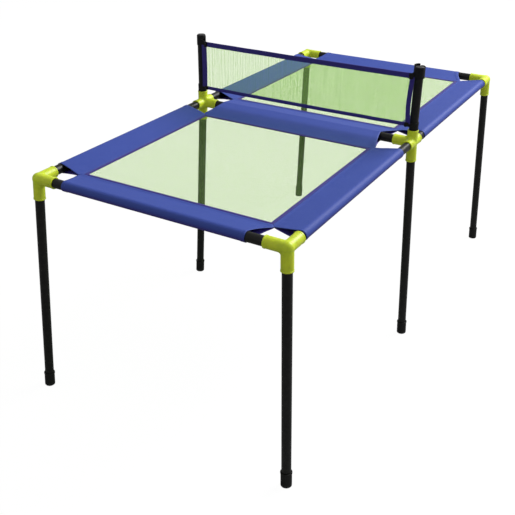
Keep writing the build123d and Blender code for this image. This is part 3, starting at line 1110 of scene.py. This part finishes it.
class TABLE_OT_windows(bpy.types.Operator):
    """Fits the mesh windows, their bindings and the cover's stitches"""

    bl_idname = "net_table.windows"
    bl_label = "Windows"

    def execute(self, context):
        cover = context.scene.net_table_cover
        colours = context.scene.net_table_colours
        mesh_finish = knitted_monofilament(colours)
        tape_finish = ribbed_tape("grosgrain_tape", colours.tape_colour, 1.0 * MM, 0.6, 0.05)
        thread = spun_thread("blue_sewing_thread", colours.thread_colour)
        dark_thread = spun_thread("navy_sewing_thread", colours.dark_thread_colour)
        for end, along in ENDS.items():
            pieces = [self.binding(end, along, cover, tape_finish)]
            pieces.append(self.seams(end, along, cover, thread))
            pieces.append(self.binding_seams(end, along, cover, dark_thread))
            pieces.append(self.tacks(end, along, cover, dark_thread))
            low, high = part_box(f"mesh_window_{end}")
            size = high - low
            place = (low + high) / 2
            pitches = (cover.mesh_pitch, cover.mesh_pitch)
            window = mesh_cloth(
                f"window_mesh_{end}",
                size.xy,
                place,
                (0, 0, 0),
                cover.mesh_sag,
                pitches,
                (45, 45, 45),
                (cover.mesh_wander, cover.mesh_wander, 0),
                cover,
                mesh_finish,
            )
            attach(window, "frame")
            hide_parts(f"mesh_window_{end}")
            for piece in pieces:
                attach(piece, "frame")
            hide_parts(f"window_binding_{end}")
            bands = [f"end_band_{end}_cloth", "centre_band_top"]
            bands += [f"side_band_{end}_{side}_cloth" for side in SIDES]
        return {"FINISHED"}

    def binding(self, end, along, cover, tape_finish):
        """The folded tape round a window."""
        x0, x1 = sorted((along * WINDOW_NEAR[end], along * WINDOW_FAR))
        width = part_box(f"mesh_window_{end}")[0].x - x0 + 6 * MM
        outline = strip_outline(width, cover.binding_thickness)
        stations = binding_loop(x0, x1)
        return swept(f"binding_tape_{end}", stations, outline, [tape_finish], closed=True)

    def seams(self, end, along, cover, thread):
        """Stitches along the sleeves' window edges and round their hems."""
        rows = []
        radius = TUBE_RADIUS + cover.ease + cover.cloth / 2
        rise = cover.cloth / 2
        lift = cover.cloth * 1.25
        for node, wrap in sleeve_wraps(cover).items():
            if end not in node:
                continue
            rows += seam_rows(wrap, 5 * MM, cover.cloth * 1.1)
            lines = [one_wing(radius, wrap.reach, cover.seam, rise)]
            if node.startswith("centre"):
                lines = [half_layer(radius, wrap.reach, cover.seam, rise, 1)]
                lines.append(half_layer(radius, wrap.reach, cover.seam, rise, -1)[::-1])
            for line in lines:
                for cut in (wrap.low, wrap.high):
                    rows.append(end_row(wrap, line, cut, cover.hem - 2 * MM, lift))
        return sewn(f"cover_stitches_{end}", rows, cover, thread)

    def binding_seams(self, end, along, cover, thread):
        """Stitches down the middle of the binding, above and below."""
        rows = []
        inset = 4 * MM
        x0, x1 = sorted((along * WINDOW_NEAR[end], along * WINDOW_FAR))
        side = WINDOW_SIDE - inset
        flat = [(x0 + inset, -side), (x1 - inset, -side), (x1 - inset, side), (x0 + inset, side)]
        flat.append(flat[0])
        for layer in (1, -1):
            height = RAIL_HEIGHT + layer * cover.binding_thickness / 2
            rows.append([Vector((x, y, height)) for x, y in flat])
        return sewn(f"binding_stitches_{end}", rows, cover, thread)

    def tacks(self, end, along, cover, thread):
        """Bar tacks over the joints of the sleeves at the window's corners."""
        rows = []
        for x, out in ((along * WINDOW_NEAR[end], -along), (along * WINDOW_FAR, along)):
            for across in SIDES.values():
                for layer in (1, -1):
                    height = RAIL_HEIGHT + layer * cover.cloth * 1.2
                    corner = Vector((x, across * WINDOW_SIDE, height))
                    step = Vector((out, across, 0))
                    rows.append([corner + step * 1 * MM, corner + step * (APEX - 2 * MM)])
        return sewn(f"corner_tacks_{end}", rows, cover, thread, across=True)


class TABLE_OT_net(bpy.types.Operator):
    """Hangs the net with its tapes, hems and straps"""

    bl_idname = "net_table.net"
    bl_label = "Net"

    def execute(self, context):
        cover = context.scene.net_table_cover
        net = context.scene.net_table_net
        colours = context.scene.net_table_colours
        tape_finish = ribbed_tape("grosgrain_net_tape", colours.tape_colour, 1.0 * MM, 0.55, 0.05)
        strap = colours.strap_colour
        strap_finish = ribbed_tape("hook_and_loop_webbing", strap, 1.3 * MM, 0.7, 0.02)
        thread = spun_thread("net_sewing_thread", colours.thread_colour)
        tapes = self.tapes(net, tape_finish) + self.hems(net, tape_finish)
        straps = self.straps(net, strap_finish)
        seams = sewn("net_stitches", self.rows(net), cover, thread)
        reach = Vector((0, net.near_post, 0))
        size = net_high - net_low + reach
        place = (net_low + net_high - reach) / 2
        turn = (math.pi / 2, 0, math.pi / 2)
        finish_material = bpy.data.materials["knitted_monofilament"]
        sheet = mesh_cloth(
            "net_threads",
            size.yz,
            place,
            turn,
            1 * MM,
            (net.pitch_along, net.pitch_up),
            (net.streak, 6, 1),
            (net.streak_wander, cover.mesh_wander / 2, 0),
            cover,
            finish_material,
        )
        for piece in [sheet, seams] + tapes + straps:
            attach(piece, "net_set")
        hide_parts("net_mesh")
        return {"FINISHED"}

    def droop(self, net, y):
        """How far the tapes hang below straight at a place along the net."""
        return net.sag * (1 - (y / TAPE_END) ** 2)

    def tapes(self, net, tape_finish):
        """The folded tapes along the net's top and bottom."""
        made = []
        steps = 90
        for node, low, high, turned in (
            ("net_top_tape", HEM_HIGH, NET_TOP, 1),
            ("net_bottom_tape", NET_BOTTOM, HEM_LOW, -1),
        ):
            outline = tape_outline(high - low, net.fold, net.tape)
            base = low if turned > 0 else high
            stations = []
            for i in range(steps + 1):
                y = -TAPE_END - net.near_post + (2 * TAPE_END + net.near_post) * i / steps
                wave = noise.noise(Vector((y * 18, base * 10, 0))) * 0.5 * MM
                place = Vector((NET_X + wave, y, base - self.droop(net, y) + wave * 0.6))
                stations.append((place, Vector((1, 0, 0)), UP * turned))
            piece = swept(node + "_folded", stations, outline, [tape_finish])
            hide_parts(node)
            made.append(piece)
        return made

    def hem_inner(self, net, side):
        """The inner edge of a side hem."""
        return HEM_INNER + (net.near_post * 0.8 if side == "right" else 0.0)

    def hem_shift(self, net, side, z):
        """How far a side hem bows in at a height."""
        share = (HEM_HIGH - z) / (HEM_HIGH - HEM_LOW)
        bow = net.bow_left if side == "left" else net.bow_right
        return bow * math.sin(math.pi * min(max(share, 0.0), 1.0) ** 1.3)

    def hems(self, net, tape_finish):
        """The folded hems down the net's two sides."""
        made = []
        tuck = 4 * MM
        steps = 40
        for side, across in SIDES.items():
            inner = self.hem_inner(net, side)
            outer = HEM_OUTER if side == "left" else HEM_OUTER + net.near_post / 3
            outline = tape_outline(outer - inner, net.hem, net.hem * 0.8)
            stations = []
            for i in range(steps + 1):
                z = HEM_LOW - tuck + (HEM_HIGH - HEM_LOW + 2 * tuck) * i / steps
                wave = noise.noise(Vector((z * 30, across * 5, 3))) * 0.4 * MM
                y = across * (inner - self.hem_shift(net, side, z))
                place = Vector((NET_X + wave, y, z))
                stations.append((place, Vector((1, 0, 0)), Vector((0, across, 0))))
            piece = swept(f"net_side_hem_{side}_folded", stations, outline, [tape_finish])
            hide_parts(f"net_side_hem_{side}")
            made.append(piece)
        return made

    def straps(self, net, strap_finish):
        """The webbing loops that tie the net's four corners to the posts."""
        made = []
        corners = (("top", HEM_HIGH, NET_TOP), ("bottom", NET_BOTTOM, HEM_LOW))
        radius = TUBE_RADIUS + 0.2 * MM + net.webbing / 2
        for side, across in SIDES.items():
            tape_end = TAPE_END + (net.near_post if side == "right" else 0.0)
            to_tape = Vector((NET_X, across * (tape_end - HALF_WIDTH), 0))
            inward = to_tape.normalized()
            for place, tape_low, tape_high in corners:
                node = f"post_strap_{place}_{side}"
                low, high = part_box(node)
                wrap = Wrap(
                    origin=Vector((0, across * HALF_WIDTH, 0)),
                    along=UP,
                    inward=inward,
                    up=UP.cross(inward),
                    low=Cut(low.z, tape_low - 0.5 * MM, tape_low - 0.5 * MM),
                    high=Cut(high.z, tape_high + 0.5 * MM, tape_high + 0.5 * MM),
                    reach=to_tape.length + net.strap_lap,
                    bend=0.8,
                )
                rise = (net.tape + net.webbing) / 2 + 0.3 * MM
                line = one_wing(radius, wrap.reach, net.strap_lap + 4 * MM, rise)
                name = node + "_webbing"
                finishes = [strap_finish]
                piece, *_ = wrapped_cloth(
                    name, [wrap], line, 16, net.webbing, finishes, slack=0.2 * MM
                )
                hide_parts(node)
                made.append(piece)
        made.append(self.strap_tail(net, strap_finish, radius + net.webbing + 0.1 * MM))
        return made

    def strap_tail(self, net, strap_finish, radius):
        """The loose end of the top right strap, wound on over itself with a ragged upper edge."""
        low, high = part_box("post_strap_top_right")
        notch = math.radians(12)
        columns, rows = 14, 120
        weave_across, weave_along = 2.5 * MM, 1.7 * MM
        points = []
        uvs = []
        for i in range(rows + 1):
            share = i / rows
            turn = math.tau * (share - 0.5)
            angle = notch + turn
            out = Vector((math.cos(angle), math.sin(angle), 0)) * (radius + 0.5 * MM * share)
            raised = 1.0 if 0 < turn < 2 else 0.45 if -1.3 < turn < 0 else 0.2
            raised *= smooth_step(abs(turn) / 0.12)
            ragged = noise.noise(Vector((share * 33, 0, 5))) * 0.7 * MM
            top = high.z + net.strap_step * raised + ragged
            bottom = low.z + 1.5 * MM - net.strap_step * 0.2 * share
            for j in range(columns + 1):
                z = bottom + (top - bottom) * j / columns
                points.append(Vector((0, -HALF_WIDTH, z)) + out)
        faces, corners = grid_faces(rows + 1, columns + 1)
        for row, column in corners:
            uvs.append((column * weave_across, row * weave_along))
        piece = mesh_piece("post_strap_tail_webbing", points, faces, [strap_finish], uvs)
        face = piece.data.polygons[0]
        if face.normal.dot(face.center - Vector((0, -HALF_WIDTH, face.center.z))) < 0:
            piece.data.flip_normals()
        solid = piece.modifiers.new("Thickness", "SOLIDIFY")
        solid.thickness = net.webbing * 0.8
        solid.offset = 0.0
        return piece

    def rows(self, net):
        """The net's rows of stitches, on both faces of its tapes and hems."""
        rows = []
        inset = 2.5 * MM
        steps = 40
        for face in (1, -1):
            for height, rise in ((HEM_HIGH, inset), (HEM_LOW, -inset)):
                row = []
                for i in range(steps + 1):
                    y = -TAPE_END + 2 * TAPE_END * i / steps
                    x = NET_X + face * (net.tape / 2 + 0.15 * MM)
                    row.append(Vector((x, y, height + rise - self.droop(net, y))))
                rows.append(row)
            for side, across in SIDES.items():
                row = []
                for i in range(steps + 1):
                    z = HEM_LOW + (HEM_HIGH - HEM_LOW) * i / steps
                    shift = self.hem_shift(net, side, z)
                    y = across * (self.hem_inner(net, side) + inset - shift)
                    row.append(Vector((NET_X + face * (net.hem * 0.45 + 0.15 * MM), y, z)))
                rows.append(row)
        return rows


class TABLE_PT_panel(bpy.types.Panel):
    """Lists the table's settings and the steps that make it"""

    bl_idname = "TABLE_PT_panel"
    bl_label = "Junior table-tennis table"
    bl_space_type = "VIEW_3D"
    bl_region_type = "UI"
    bl_category = "Net table"

    def draw(self, context):
        for name in SETTINGS:
            group = getattr(context.scene, name)
            for key in group.__annotations__:
                self.layout.prop(group, key)
        for operator in STEPS:
            self.layout.operator(operator.bl_idname)


SETTINGS = {
    "net_table_cover": CoverSettings,
    "net_table_net": NetSettings,
    "net_table_colours": ColourSettings,
    "net_table_stage": StageSettings,
}
STEPS = [
    TABLE_OT_stage,
    TABLE_OT_connectors,
    TABLE_OT_tubes,
    TABLE_OT_caps,
    TABLE_OT_sleeves,
    TABLE_OT_windows,
    TABLE_OT_net,
]


def register():
    """Registers the settings, steps and panel."""
    for name, group in SETTINGS.items():
        bpy.utils.register_class(group)
        setattr(bpy.types.Scene, name, bpy.props.PointerProperty(type=group))
    for operator in STEPS:
        bpy.utils.register_class(operator)
    bpy.utils.register_class(TABLE_PT_panel)


def unregister():
    """Removes what register added."""
    bpy.utils.unregister_class(TABLE_PT_panel)
    for operator in reversed(STEPS):
        bpy.utils.unregister_class(operator)
    for name, group in SETTINGS.items():
        delattr(bpy.types.Scene, name)
        bpy.utils.unregister_class(group)


def main():
    """Makes the whole table."""
    register()
    bpy.ops.net_table.stage()
    bpy.ops.net_table.connectors()
    bpy.ops.net_table.tubes()
    bpy.ops.net_table.caps()
    bpy.ops.net_table.sleeves()
    bpy.ops.net_table.windows()
    bpy.ops.net_table.net()
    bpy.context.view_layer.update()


if __name__ == "__main__":
    main()
